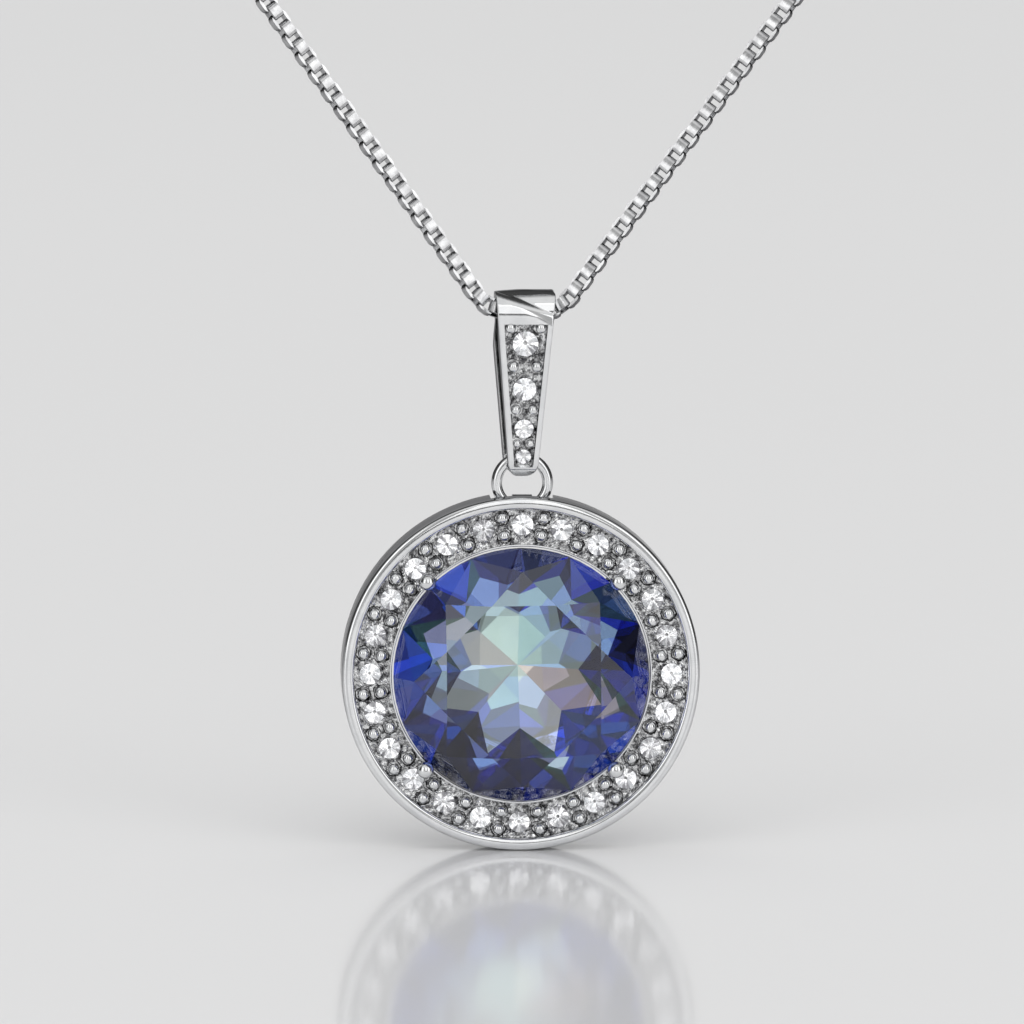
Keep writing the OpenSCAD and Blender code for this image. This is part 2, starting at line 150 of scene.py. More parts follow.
polishedSilver = silverMaterial("polishedSilver", {
    "dark": (0.80, 0.81, 0.82), "light": (0.90, 0.905, 0.91), "toneScale": 900,
    "roughness": (0.05, 0.12), "polishScale": 2600,
    "scratchScale": 2600, "scratchStretch": (1.0, 1.0, 6.0), "bump": 0.05, "edge": (0.22, 0.22, 0.225),
})
chainSilver = silverMaterial("chainSilver", {
    "dark": (0.60, 0.60, 0.61), "light": (0.82, 0.825, 0.83), "toneScale": 2400,
    "roughness": (0.10, 0.22), "polishScale": 5200,
    "scratchScale": 6000, "scratchStretch": (1.0, 4.0, 1.0), "bump": 0.10, "edge": (0.12, 0.12, 0.125),
})
settingSilver = silverMaterial("settingSilver", {
    "dark": (0.10, 0.10, 0.105), "light": (0.90, 0.905, 0.91), "toneScale": 4200,
    "roughness": (0.06, 0.20), "polishScale": 9000,
    "scratchScale": 12000, "scratchStretch": (1.0, 1.0, 1.0), "bump": 0.20, "edge": (0.05, 0.05, 0.055),
})
springSteel = silverMaterial("springSteel", {
    "dark": (0.42, 0.42, 0.43), "light": (0.58, 0.58, 0.60), "toneScale": 4200,
    "roughness": (0.22, 0.36), "polishScale": 7000,
    "scratchScale": 9000, "scratchStretch": (1.0, 5.0, 1.0), "bump": 0.12, "edge": (0.10, 0.10, 0.10),
})


def facetColour(nodes):  # each facet carries its own colour, which holds the stone's tint and painted reflection and shade
    tint = nodes.new("ShaderNodeAttribute")
    tint.attribute_name = "facetTintAndPaintedLight"
    return tint.outputs["Color"]


def crownMaterial(name, ior, coat):  # clear, with a bright skin where coat is over 0
    material, nodes, links, shader = startMaterial(name)
    # the crown takes each facet's colour, painted reflection and shade included
    links.new(facetColour(nodes), shader.inputs["Base Color"])
    shader.inputs["Roughness"].default_value = 0.0
    shader.inputs["IOR"].default_value = ior
    shader.inputs["Transmission Weight"].default_value = 1.0
    shader.inputs["Coat Weight"].default_value = coat
    shader.inputs["Coat IOR"].default_value = 2.3
    shader.inputs["Coat Roughness"].default_value = 0.0
    return material


def pavilionMaterial(name, roughness, clouding, glow):  # the foiled back of a stone, seen through its crown, which also glows with painted light in its facet colours
    material, nodes, links, shader = startMaterial(name)
    shader.inputs["Metallic"].default_value = 1.0
    cloud = addNoise(nodes, links, clouding["scale"], 2.0)
    mix = nodes.new("ShaderNodeMix")
    mix.data_type = "RGBA"
    mix.blend_type = "MULTIPLY"
    mix.inputs["Factor"].default_value = 1.0
    shade = addRamp(nodes, links, cloud.outputs["Fac"], clouding["low"], clouding["high"])
    links.new(facetColour(nodes), mix.inputs["A"])
    links.new(shade.outputs["Color"], mix.inputs["B"])
    links.new(mix.outputs["Result"], shader.inputs["Base Color"])
    # painted light: the facet colours are also emitted, so the stones glow though no lamp lights them; glow
    # sets how strongly
    links.new(mix.outputs["Result"], shader.inputs["Emission Color"])
    shader.inputs["Emission Strength"].default_value = glow
    spread = addRange(nodes, links, cloud.outputs["Fac"], *roughness)
    links.new(spread.outputs["Result"], shader.inputs["Roughness"])
    return material


blueCrown = crownMaterial("blueCrown", 1.62, 0.12)
# the last number of each pavilion is its painted glow
bluePavilion = pavilionMaterial("bluePavilion", (0.0, 0.03),
                                {"scale": 500, "low": (0.82, 0.84, 0.88), "high": (1.0, 1.0, 1.0)}, 0.12)
blueStar = pavilionMaterial("blueStar", (0.0, 0.03),
                            {"scale": 300, "low": (0.90, 0.92, 0.94), "high": (1.0, 1.0, 1.0)}, 0.26)
clearCrown = crownMaterial("clearCrown", 1.6, 0.0)
clearPavilion = pavilionMaterial("clearPavilion", (0.0, 0.04),
                                 {"scale": 3000, "low": (0.86, 0.86, 0.87), "high": (1.0, 1.0, 1.0)}, 0.45)
print("materials made")


def leaveEditMode():
    if bpy.context.object and bpy.context.object.mode != "OBJECT":
        bpy.ops.object.mode_set(mode="OBJECT")


def deselectAll():
    leaveEditMode()
    bpy.ops.object.select_all(action="DESELECT")


def onlySelect(piece):
    deselectAll()
    piece.select_set(True)
    bpy.context.view_layer.objects.active = piece


def applyModifiers(piece):
    onlySelect(piece)
    for modifier in list(piece.modifiers):
        bpy.ops.object.modifier_apply(modifier=modifier.name)


def pointOutwards(piece):
    onlySelect(piece)
    bpy.ops.object.mode_set(mode="EDIT")
    bpy.ops.mesh.select_all(action="SELECT")
    bpy.ops.mesh.normals_make_consistent(inside=False)
    bpy.ops.object.mode_set(mode="OBJECT")


def newMesh(name, points, faces):
    mesh = bpy.data.meshes.new(name)
    mesh.from_pydata([tuple(p) for p in points], [], faces)
    mesh.update()
    piece = bpy.data.objects.new(name, mesh)
    scene.collection.objects.link(piece)
    return piece


def smooth(piece, angle=35):
    onlySelect(piece)
    bpy.ops.object.shade_smooth_by_angle(angle=math.radians(angle))


def finishPiece(piece, body, material, slot, *replaced):
    piece.data.transform(Matrix.Scale(metre, 4))
    if material:
        piece.data.materials.clear()
        piece.data.materials.append(material)
    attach(piece, body)
    if replaced:
        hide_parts(*replaced)
    return piece


def roundCorners(points, size, steps=4):  # each corner becomes a short curve
    made = []
    for i, corner in enumerate(points):
        before, after = Vector(points[i - 1]), Vector(points[(i + 1) % len(points)])
        corner = Vector(corner)
        a = corner + (before - corner).normalized() * min(size, (before - corner).length * 0.45)
        b = corner + (after - corner).normalized() * min(size, (after - corner).length * 0.45)
        for k in range(steps + 1):
            t = k / steps
            made.append(tuple(a * (1 - t) ** 2 + corner * 2 * t * (1 - t) + b * t * t))
    return made


def outlineObject(name, corners):  # a closed outline, from a circle whose points are moved to their places
    deselectAll()
    bpy.ops.mesh.primitive_circle_add(vertices=len(corners), radius=1, fill_type="NOTHING")
    piece = bpy.context.object
    piece.name = name
    for vertex, place in zip(piece.data.vertices, corners):
        vertex.co = place
    return piece


def spinRing(name, outline, steps, axis=(0, 1, 0), angle=math.tau):
    piece = outlineObject(name, outline)
    bpy.ops.object.mode_set(mode="EDIT")
    bpy.ops.mesh.select_all(action="SELECT")
    bpy.ops.mesh.spin(steps=steps, angle=angle, center=(0, 0, 0), axis=axis)
    bpy.ops.mesh.select_all(action="SELECT")
    bpy.ops.mesh.remove_doubles(threshold=0.0005)
    bpy.ops.mesh.normals_make_consistent(inside=False)
    bpy.ops.object.mode_set(mode="OBJECT")
    return piece


def cutWith(piece, tool, operation):
    step = piece.modifiers.new(operation, "BOOLEAN")
    step.operation, step.object, step.solver = operation, tool, "EXACT"
    applyModifiers(piece)
    bpy.data.objects.remove(tool)


def joinPieces(name, pieces):
    deselectAll()
    for piece in pieces:
        piece.select_set(True)
    bpy.context.view_layer.objects.active = pieces[0]
    if len(pieces) > 1:
        bpy.ops.object.join()
    pieces[0].name = name
    return pieces[0]


def copyPiece(piece, matrix):
    twin = piece.copy()
    twin.data = piece.data.copy()
    twin.data.transform(matrix)
    scene.collection.objects.link(twin)
    return twin


chainRoute = {  # the right strand; the left one is its mirror image but for the tail
    "strand": [(0, 0, -41), (0.8, 0, -41), (1.2, 0, -40.95), (1.6, 0, -40.79), (2.1, 0, -40.34),
               (3, 0, -39.08), (6, 0, -34.95), (10, 0, -29.45), (14, 0, -23.94), (17.5, 0, -19.13),
               (20.5, 0, -15)],
    "turnRadius": 25.4, "firstAngle": 54, "wound": 416, "stepAngle": 6, "sidestep": 1.3, "smoothStep": 1.0,
    "tailLeft": [(-23.9, -1.5, 8.7), (-22.2, -1.5, 12.9), (-20, -1.4, 16.6), (-17.6, -1.1, 19.5),
                 (-15.1, -0.7, 21.6), (-12.3, -0.3, 23.4), (-9.8, 0, 24.85), (-7.7, 0, 25.85),
                 (-5.85, 0, 26.2)],
    "tailRight": [(23.9, 1.5, 8.7), (22.2, 1.5, 12.9), (20, 1.4, 16.6), (17.6, 1.1, 19.5),
                  (15.1, 0.7, 21.6), (12.3, 0.3, 23.4), (9.8, 0, 24.9), (7.9, 0, 25.85), (6.1, 0, 26.3),
                  (4.15, 0, 26.5)],
}
boxLink = {
    "height": 0.77, "stripWidth": 0.50, "stripThickness": 0.125, "cornerRadius": 0.20, "innerCorner": 0.05,
    "pitch": 0.507, "roll": -24,
}


def smoothRoute(points, step):
    made = []
    for i in range(len(points) - 1):
        a, b = Vector(points[max(i - 1, 0)]), Vector(points[i])
        c, d = Vector(points[i + 1]), Vector(points[min(i + 2, len(points) - 1)])
        count = max(1, math.ceil((c - b).length / step))
        for k in range(count):
            t = k / count
            made.append(0.5 * (2 * b + (c - a) * t + (2 * a - 5 * b + 4 * c - d) * t * t
                               + (3 * b - a - 3 * c + d) * t ** 3))
    made.append(Vector(points[-1]))
    return made


def strandPath(side):
    route = chainRoute
    wound = []
    count = int(route["wound"] / route["stepAngle"])
    for k in range(count + 1):
        turned = route["wound"] * k / count
        angle = math.radians(route["firstAngle"] + turned)
        wound.append(Vector((side * route["turnRadius"] * math.sin(angle),
                             side * route["sidestep"] * turned / 360,
                             -route["turnRadius"] * math.cos(angle))))
    strand = smoothRoute([(side * x, y, z) for x, y, z in route["strand"]], route["smoothStep"])
    tail = smoothRoute(route["tailRight" if side > 0 else "tailLeft"], route["smoothStep"])
    return strand[:-1] + wound + tail[1:]


def linkShape():  # a square ring of flat strip, with rounded corners
    half, corner = boxLink["height"] / 2, boxLink["cornerRadius"]
    thick, width = boxLink["stripThickness"], boxLink["stripWidth"] / 2
    rings = []
    for inset in (0, thick):
        reach, radius = half - inset, max(corner - inset, boxLink["innerCorner"])
        ring = []
        for quarter in range(4):
            for k in range(3):
                angle = math.radians(90 * quarter + 45 * k)
                centre = Vector(((reach - radius) * (1 if quarter in (0, 3) else -1),
                                 (reach - radius) * (1 if quarter in (0, 1) else -1)))
                ring.append(centre + radius * Vector((math.cos(angle), math.sin(angle))))
        rings.append(ring)
    points = [(p.x, p.y, z) for z in (-width, width) for ring in rings for p in ring]
    count = len(rings[0])
    faces = []
    for i in range(count):
        j = (i + 1) % count
        faces += [(i, j, 2 * count + j, 2 * count + i),
                  (count + j, count + i, 3 * count + i, 3 * count + j),
                  (j, i, count + i, count + j),
                  (2 * count + i, 2 * count + j, 3 * count + j, 3 * count + i)]
    return points, faces


def layChain(name, side):  # every second link is a quarter turn round
    path = strandPath(side)
    shape, shapeFaces = linkShape()
    distance = [0.0]
    for a, b in zip(path, path[1:]):
        distance.append(distance[-1] + (b - a).length)
    points, faces = [], []
    count = int(distance[-1] / boxLink["pitch"])
    spot = 0
    for i in range(count):
        along = (i + 0.5) * boxLink["pitch"]
        while distance[spot + 1] < along:
            spot += 1
        share = (along - distance[spot]) / (distance[spot + 1] - distance[spot])
        centre = path[spot].lerp(path[spot + 1], share)
        before, after = path[max(spot - 1, 0)], path[min(spot + 2, len(path) - 1)]
        comingIn, goingOut = (path[spot + 1] - before).normalized(), (after - path[spot]).normalized()
        heading = comingIn.lerp(goingOut, share).normalized()
        front = (Vector((0, -1, 0)) + heading * heading.y).normalized()
        across = heading.cross(front)
        quarter = (i + (1 if side > 0 else 0)) % 2
        roll = math.radians(side * boxLink["roll"] + 90 * quarter)
        up = front * math.cos(roll) + across * math.sin(roll)
        wide = heading.cross(up)
        base = len(points)
        points += [centre + heading * x + up * y + wide * z for x, y, z in shape]
        faces += [tuple(base + v for v in face) for face in shapeFaces]
    chain = newMesh(name, points, faces)
    smooth(chain, 50)
    finishPiece(chain, "chain", chainSilver, "chain_silver")
    return chain, [p * metre for p in path], distance[-1] * metre


print("laying the chain")
leftChain, leftPath, leftLength = layChain("chainLeft", -1)
rightChain, rightPath, rightLength = layChain("chainRight", 1)
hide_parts("chain_left", "coil_left", "tail_left")
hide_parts("chain_right", "coil_right", "tail_right")


# the pendant's middle and radius come from the CAD rim
rimLow, rimHigh = (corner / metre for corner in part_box("rim"))
pendantZ = rimHigh.z - (rimHigh.x - rimLow.x) / 2
pendantRadius = (rimHigh.x - rimLow.x) / 2
onPendant = Matrix.Translation((0, 0, pendantZ))


def pendantPoint(radius, angle, depth):
    return Vector((radius * math.cos(angle), -depth, pendantZ + radius * math.sin(angle)))


def outwards(radius, angle, depth, turn=0.0):  # a frame whose Z is the pendant's front
    return (Matrix.Translation(pendantPoint(radius, angle, depth)) @ Matrix.Rotation(math.pi / 2, 4, "X")
            @ Matrix.Rotation(angle + turn, 4, "Z"))


def planeHeight(a, b, c, x, y):  # the height at x, y of the plane through three points
    a, b, c = Vector(a), Vector(b), Vector(c)
    normal = (b - a).cross(c - a)
    return a.z - (normal.x * (x - a.x) + normal.y * (y - a.y)) / normal.z


def brilliant(diameter, table, lower, star=1.0, arc=1, crownShare=0.15, girdleShare=0.025,
              pavilionShare=0.43, starReach=1.03):
    # a round brilliant, table up, its eight mains ending at the share star and its girdle drawn in arc steps
    r = diameter / 2
    half, crown = girdleShare * diameter / 2, crownShare * diameter
    culet = half + pavilionShare * diameter
    tableR, lowerR, tipR = table * r, lower * r, star * r
    starR = (tableR + r) / 2 * starReach
    flat = math.cos(math.radians(22.5))
    starZ = half + crown * (r - starR * flat) / (r - tableR)
    lowerZ = -half - (culet - half) * (1 - lowerR * flat / r)
    tipZ = -half - (culet - half) * (1 - tipR / r)
    around = 16 * arc

    def ring(count, radius, height, shift=0.0):
        turned = [math.tau * (k + shift) / count for k in range(count)]
        return [(radius * math.cos(angle), radius * math.sin(angle), height) for angle in turned]

    stars, valleys, tips = ring(8, starR, starZ, 0.5), ring(8, lowerR, lowerZ, 0.5), ring(8, tipR, tipZ)
    upperEdge, lowerEdge = ring(around, r, half), ring(around, r, -half)
    for spots, edge in ((stars, upperEdge), (valleys, lowerEdge)):  # the girdle's edges are scalloped
        for g in range(16):
            first, last = edge[g * arc], edge[(g + 1) * arc % around]
            for k in range(1, arc):
                x, y, _ = edge[g * arc + k]
                edge[g * arc + k] = (x, y, planeHeight(spots[g // 2], first, last, x, y))
    starAt, upperAt, lowerAt = 8, 16, 16 + around
    valleyAt = lowerAt + around
    tipAt, culetAt = valleyAt + 8, valleyAt + 16
    points = ring(8, tableR, half + crown) + stars + upperEdge + lowerEdge + valleys + tips + [(0, 0, -culet)]
    faces, kinds = [tuple(range(8))], ["table"]
    for k in range(8):
        after, before, g = (k + 1) % 8, (k + 7) % 8, 2 * k * arc
        valley, lastValley = valleyAt + k, valleyAt + before
        faces += [(after, k, starAt + k), (k, starAt + before, upperAt + g, starAt + k)]
        kinds += ["star", "kite"]
        for side in (0, 1):
            run = [(g + side * arc + i) % around for i in range(arc + 1)]
            faces.append((starAt + k, *[upperAt + i for i in run]))
            faces.append((valley, *[lowerAt + i for i in reversed(run)]))
            kinds += ["upper", "lower"]
            for a, b in zip(run, run[1:]):
                faces.append((upperAt + a, lowerAt + a, lowerAt + b, upperAt + b))
                kinds.append("girdle")
        if star < 1.0:
            faces += [(culetAt, valley, tipAt + k, lastValley), (valley, lowerAt + g, tipAt + k),
                      (lastValley, tipAt + k, lowerAt + g)]
            kinds += ["main", "outer", "outer"]
        else:
            faces.append((culetAt, valley, lowerAt + g, lastValley))
            kinds.append("main")
    return points, faces, kinds


def setStones(name, stones, gem, glass, foil, mainFoil, seed):
    # facet colours, tint and painted reflection and shade together, are drawn at random, but a lone stone's
    # mains take theirs in turn
    draw, tintsAndPaintedLight = random.Random(seed), gem["tintsAndPaintedLight"]
    points, faces, colours, slots = [], [], [], []
    for matrix, diameter in stones:
        shapePoints, shapeFaces, kinds = brilliant(diameter, **gem["shape"])
        base = len(points)
        points += [matrix @ Vector(p) for p in shapePoints]
        for i, (face, kind) in enumerate(zip(shapeFaces, kinds)):
            faces.append(tuple(base + v for v in face))
            inOrder = len(stones) == 1 and kind == "main"
            colours.append(tintsAndPaintedLight[kind][kinds[:i].count(kind)] if inOrder else draw.choice(tintsAndPaintedLight[kind]))
            slots.append(2 if kind == "main" else 1 if kind in ("lower", "outer", "girdle") else 0)
    piece = newMesh(name, points, faces)
    for material in (glass, foil, mainFoil):
        piece.data.materials.append(material)
    # painted light: each facet's colour stands in for the light and dark reflections seen in a cut stone
    layer = piece.data.color_attributes.new("facetTintAndPaintedLight", "FLOAT_COLOR", "CORNER")
    for polygon, colour, slot in zip(piece.data.polygons, colours, slots):
        polygon.material_index = slot
        for loop in polygon.loop_indices:
            layer.data[loop].color = (*colour, 1)
    onlySelect(piece)
    bpy.ops.object.mode_set(mode="EDIT")
    bpy.ops.mesh.select_all(action="SELECT")
    bpy.ops.mesh.delete_loose()
    bpy.ops.object.mode_set(mode="OBJECT")
    pointOutwards(piece)
    return piece


centreGem = {
    "diameter": 11.8, "girdleDepth": 1.0, "turn": 23.5,
    "shape": {"table": 0.65, "lower": 0.46, "star": 0.68, "arc": 4},
    # painted light: besides the stone's blue, these facet colours paint its reflections (a white main, the
    # pale table) and its shade (near black on the lowers and girdle)
    "tintsAndPaintedLight": {
        "table": [(0.90, 0.97, 0.95)],
        "star": [(0.36, 0.44, 0.66), (0.44, 0.48, 0.62), (0.16, 0.22, 0.62)],
        "kite": [(0.08, 0.12, 0.62), (0.18, 0.22, 0.64), (0.30, 0.36, 0.60)],
        "upper": [(0.07, 0.11, 0.62), (0.13, 0.15, 0.62), (0.04, 0.07, 0.48)],
        "girdle": [(0.03, 0.03, 0.10)],
        "lower": [(0.02, 0.05, 0.34), (0.01, 0.02, 0.10), (0.02, 0.11, 0.46), (0.01, 0.01, 0.04),
                  (0.02, 0.08, 0.10)],
        "outer": [(0.02, 0.05, 0.45), (0.01, 0.02, 0.12), (0.03, 0.12, 0.70), (0.03, 0.14, 0.10)],
        "main": [(0.50, 0.62, 0.58), (0.42, 0.56, 0.55), (0.44, 0.55, 0.54), (0.50, 0.58, 0.60),
                 (0.58, 0.65, 0.66), (0.70, 0.80, 0.80), (1.0, 1.0, 0.94), (0.76, 0.58, 0.52)],
    },
}
smallGems = {
    "diameter": 0.98, "turn": 0.8, "shape": {"table": 0.50, "lower": 0.26, "star": 0.62},
    # painted light: these clear stones get a painted mosaic of reflection and shade, white to dark grey on
    # the pavilion and girdle facets
    "tintsAndPaintedLight": {
        "table": [(1.0, 1.0, 1.0)], "star": [(1.0, 1.0, 1.0)], "kite": [(1.0, 1.0, 1.0)],
        "upper": [(1.0, 1.0, 1.0)], "girdle": [(0.75, 0.75, 0.76)],
        "lower": [(0.98, 0.98, 0.98), (0.55, 0.56, 0.57), (0.25, 0.25, 0.26), (0.85, 0.85, 0.86)],
        "outer": [(0.98, 0.98, 0.98), (0.60, 0.61, 0.62), (0.35, 0.35, 0.36)],
        "main": [(1.0, 1.0, 1.0), (0.80, 0.81, 0.82), (0.55, 0.55, 0.56), (0.95, 0.95, 0.96)],
    },
}
halo = {
    "count": 24, "radius": 6.955, "bedFront": 0.8, "bedBack": 0.4, "beadRadii": (6.50, 7.33), "bead": 0.54,
}
haloAngles = [math.pi / 2 + math.tau * k / halo["count"] for k in range(halo["count"])]

print("cutting the stones")
turns = random.Random(11)
centreSeat = outwards(0, 0, centreGem["girdleDepth"], math.radians(centreGem["turn"]))
centreStone = setStones("centreStone", [(centreSeat, centreGem["diameter"])], centreGem,
                        blueCrown, bluePavilion, blueStar, 5)
finishPiece(centreStone, "pendant", None, "blue_stone", "centre_stone")
haloSeats = [(outwards(halo["radius"], angle, halo["bedFront"], turns.uniform(0, smallGems["turn"])),
              smallGems["diameter"]) for angle in haloAngles]
haloStones = setStones("haloStones", haloSeats, smallGems, clearCrown, clearPavilion, clearPavilion, 3)
finishPiece(haloStones, "pendant", None, "clear_stone", "halo_stones")

rimShape = {
    "width": 0.56, "wall": 0.4, "back": -0.7, "shoulder": 0.4, "crest": 1.1, "backEdge": 0.07, "lean": 0.10,
    "notchHalfWidth": 1.46, "notchDepth": 2, "notchHeight": 3,
}
collarShape = {"inner": 5.96, "outer": 6.06, "back": 0.4, "front": 0.92, "edge": 0.04}
rails = [  # name, radius, wire radius, depth, CAD node
    ("galleryRail", 4.50, 0.30, -1.66, "gallery_rail"),
    ("baseRail", 2.16, 0.25, -4.12, "base_rail"),
]


def makeRim():
    outer, inner = pendantRadius, pendantRadius - rimShape["width"]
    crown = rimShape["width"] / 2
    centre, base = outer - crown, rimShape["crest"] - crown
    wall = outer - rimShape["wall"]
    profile = [(wall, rimShape["shoulder"])]
    box = [(wall, rimShape["shoulder"]), (wall, rimShape["back"]), (outer, rimShape["back"]), (outer, base)]
    profile += roundCorners(box, rimShape["backEdge"])[5:15]  # only the two back corners
    for a in range(0, 181, 9):  # flat over the middle, steep at both edges, with the crest a little inside
        across, up = math.cos(math.radians(a)), math.sin(math.radians(a))
        lean = rimShape["lean"] * (1 + across) ** 2 / 4
        profile.append((centre + crown * math.copysign(abs(across) ** 0.8, across),
                        base + crown * (up ** 0.62 - lean * up)))
    profile.append((inner, rimShape["shoulder"]))
    rim = spinRing("pendantRim", [(r, -depth, 0) for r, depth in profile], 240)
    deselectAll()
    bpy.ops.mesh.primitive_cube_add(size=1)
    notch = bpy.context.object
    depth, height = rimShape["notchDepth"], rimShape["notchHeight"]
    notch.data.transform(Matrix.Translation((0, depth / 2 - rimShape["shoulder"], outer + 1 - height / 2))
                         @ Matrix.Diagonal((2 * rimShape["notchHalfWidth"], depth, height, 1)))
    cutWith(rim, notch, "DIFFERENCE")
    rim.data.transform(onPendant)
    smooth(rim, 40)
    return finishPiece(rim, "pendant", polishedSilver, "polished_silver", "rim")


def makeCollar():
    inner, outer = collarShape["inner"], collarShape["outer"]
    back, front = collarShape["back"], collarShape["front"]
    corners = [(inner, back), (outer, back), (outer, front), (inner, front)]
    profile = roundCorners(corners, collarShape["edge"], 3)
    collar = spinRing("stoneCollar", [(r, -depth, 0) for r, depth in profile], 192)
    collar.data.transform(onPendant)
    smooth(collar, 40)
    return finishPiece(collar, "pendant", polishedSilver, "polished_silver", "stone_collar")


def makeRail(name, radius, wire, depth, node):
    profile = []
    for k in range(24):  # round wire, a little flat in front and behind
        angle = math.tau * k / 24
        profile.append((radius + wire * math.cos(angle), depth + wire * max(-0.9, min(0.9, math.sin(angle)))))
    rail = spinRing(name, [(r, -d, 0) for r, d in profile], 128)
    rail.data.transform(onPendant)
    smooth(rail, 50)
    return finishPiece(rail, "pendant", polishedSilver, "polished_silver", node)


print("turning the rim")
makeRim()
makeCollar()
for railSettings in rails:
    makeRail(*railSettings)

paveShape = {
    "outer": 7.69, "inner": 6.06, "step": 0.06, "jitter": 0.030, "grain": 0.012, "lip": 0.045,
    "lipWidth": 0.045, "sunk": 0.03, "seatSlope": 0.86, "moat": 0.07, "moatDepth": 0.16, "steps": 720,
}


def paveHeight(offset, radius, draw):  # height over the bed, offset from the nearest stone's middle
    if offset < radius - 0.01:
        return -paveShape["seatSlope"] * (radius - offset) - 0.05
    lip = paveShape["lip"] * math.exp(-((offset - radius - 0.05) / paveShape["lipWidth"]) ** 2)
    return lip - paveShape["sunk"] + draw.uniform(-paveShape["jitter"], paveShape["jitter"])


def makeHaloBed():
    inner, outer = paveShape["inner"], paveShape["outer"]
    front, back, grain = halo["bedFront"], halo["bedBack"], paveShape["grain"]
    rows = round((outer - inner) / paveShape["step"])
    top = [(inner + (outer - inner) * k / rows, front) for k in range(rows + 1)]
    profile = [(inner, back)] + top + [(outer, back)]
    bed = spinRing("haloBed", [(r, -depth, 0) for r, depth in profile], paveShape["steps"])
    draw = random.Random(23)
    for vertex in bed.data.vertices:
        x, y, z = vertex.co
        r = math.hypot(x, z)
        if y > -front + 0.001 or not inner + 0.02 < r < outer - 0.02:
            continue
        angle = math.atan2(z, x)
        nearest = min(haloAngles, key=lambda a: abs(math.remainder(angle - a, math.tau)))
        offset = math.hypot(x - halo["radius"] * math.cos(nearest), z - halo["radius"] * math.sin(nearest))
        rise = paveHeight(offset, smallGems["diameter"] / 2, draw)
        side = math.copysign(math.pi / halo["count"], math.remainder(angle - nearest, math.tau))
        for beadR in halo["beadRadii"]:
            beadX, beadZ = beadR * math.cos(nearest + side), beadR * math.sin(nearest + side)
            if math.hypot(x - beadX, z - beadZ) - halo["bead"] / 2 < paveShape["moat"]:
                rise = min(rise, -paveShape["moatDepth"])
        vertex.co.y = max(-front - 0.1, min(-back - 0.03, -front - rise))
        vertex.co.x += draw.uniform(-grain, grain)
        vertex.co.z += draw.uniform(-grain, grain)
    bed.data.transform(onPendant)
    return finishPiece(bed, "pendant", settingSilver, "set_silver", "halo_bed")


beadOutline = [  # radius and height as shares of the bead's radius, from its top down to its foot
    (0.26, 1.01), (0.50, 0.90), (0.72, 0.72), (0.88, 0.48), (0.96, 0.20), (0.94, -0.08), (0.86, -0.36),
    (0.80, -0.62),
]


def makeBead(diameter):  # a raised bead with a burnished foot, set at Z = 0
    r = diameter / 2
    profile = [(onAxis, 1.05 * r)] + [(x * r, z * r) for x, z in beadOutline]
    profile.append((onAxis, beadOutline[-1][1] * r))
    bead = spinRing("bead", [(x, 0, z) for x, z in profile], 20, axis=(0, 0, 1))
    smooth(bead, 60)
    return bead


def setBeads(name, seats, body, node):  # one bead is made for each size and then copied
    models, beads = {}, []
    for matrix, diameter in seats:
        if diameter not in models:
            models[diameter] = makeBead(diameter)
        beads.append(copyPiece(models[diameter], matrix))
    for model in models.values():
        bpy.data.objects.remove(model)
    return finishPiece(joinPieces(name, beads), body, polishedSilver, "set_silver", node)


print("setting the halo")
makeHaloBed()
between = math.pi / halo["count"]
haloBeadSeats = [(outwards(r, angle + between, halo["bedFront"]), halo["bead"])
                 for r in halo["beadRadii"] for angle in haloAngles]
setBeads("haloGrains", haloBeadSeats, "pendant", "halo_grains")

prongShape = {
    "radius": 0.25, "headRadius": 0.39, "place": 6.21, "elbow": 0.14, "head": 1.40, "foot": -4.02,
    "slope": 0.95,
}


def makeProngs():  # an upright post with a ball on top, and a leg that slants in to the base rail
    shape = prongShape
    r, headR = shape["radius"], shape["headRadius"]
    neck = math.acos(r / headR)
    post = [(onAxis, shape["elbow"] - r), (r * 0.7, shape["elbow"] - r * 0.7), (r, shape["elbow"])]
    for k in range(12):
        angle = -neck + (neck + math.pi / 2) * k / 12
        post.append((headR * math.cos(angle), shape["head"] + headR * math.sin(angle)))
    post.append((onAxis, shape["head"] + headR))
    drop = shape["elbow"] - shape["foot"]
    rod = [(onAxis, 0), (r, 0), (r, -drop), (onAxis, -drop)]
    slant = Matrix.Identity(4)
    slant[0][2] = shape["slope"]
    upright = onPendant @ Matrix.Rotation(math.pi / 2, 4, "X")
    made = []
    for k in range(4):
        prong = spinRing("prong", [(x, 0, z) for x, z in post], 32, axis=(0, 0, 1))
        leg = spinRing("leg", [(x, 0, z) for x, z in rod], 32, axis=(0, 0, 1))
        leg.data.transform(Matrix.Translation((0, 0, shape["elbow"])) @ slant)
        cutWith(prong, leg, "UNION")
        prong.data.transform(upright @ Matrix.Rotation(math.radians(45 + 90 * k), 4, "Z")
                             @ Matrix.Translation((shape["place"], 0, 0)))
        smooth(prong, 45)
        made.append(prong)
    prongs = joinPieces("stoneProngs", made)
    return finishPiece(prongs, "pendant", polishedSilver, "polished_silver", "prongs")


print("making the prongs")
makeProngs()

ringShape = {"radius": 1.175, "wire": 0.245, "centreZ": -48.925, "gap": 1.2, "gapAt": 93}


